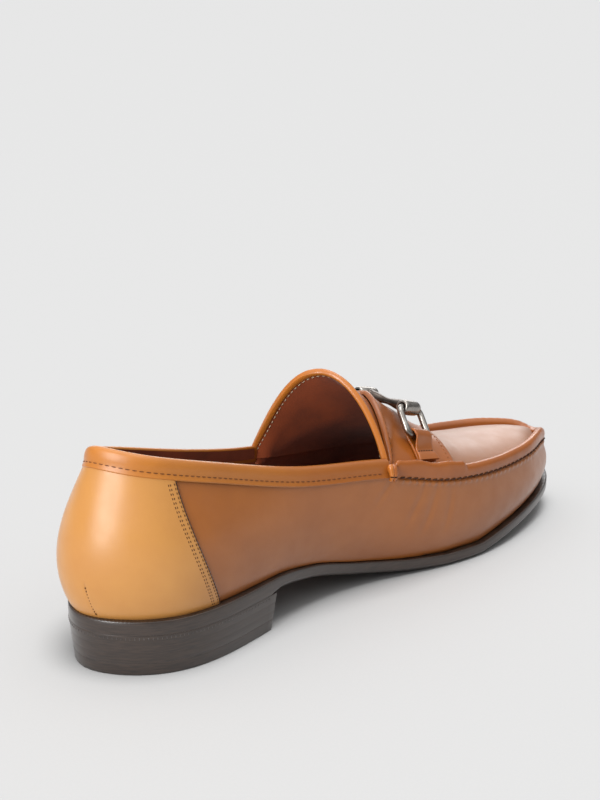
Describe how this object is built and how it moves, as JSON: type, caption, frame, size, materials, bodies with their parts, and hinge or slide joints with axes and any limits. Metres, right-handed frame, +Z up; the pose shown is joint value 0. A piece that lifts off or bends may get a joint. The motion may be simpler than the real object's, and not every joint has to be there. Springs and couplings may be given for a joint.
{
  "type": "bit loafer",
  "caption": "Slip-on moccasin loafer for the left foot, with a raised apron seam, a bound tongue, a saddle strap and a metal bit over a low stacked heel.",
  "frame": {"origin": "on the floor, at the middle of the heel's flat underside, where the shoe stands", "axes": "+X along the sole from heel to toe, +Y to the outer side of the left foot, +Z up"},
  "size_m": [0.3032, 0.0953, 0.1028],
  "materials": {
    "tan_leather": "polished smooth calf",
    "sole_leather": "dark burnished edge",
    "heel_rubber": "matt black",
    "lining_leather": "matt lining",
    "old_nickel": "brushed antique nickel"
  },
  "bodies": {
    "root": {"outsole": "sole_leather", "heel_stack": "sole_leather", "top_lift": "heel_rubber", "insole": "lining_leather", "upper": "tan_leather", "tongue": "tan_leather", "saddle": "tan_leather", "bit_tab_inner": "tan_leather", "bit_tab_outer": "tan_leather", "bit_bar": "old_nickel", "bit_ring_inner": "old_nickel", "bit_ring_outer": "old_nickel"}
  },
  "joints": []
}
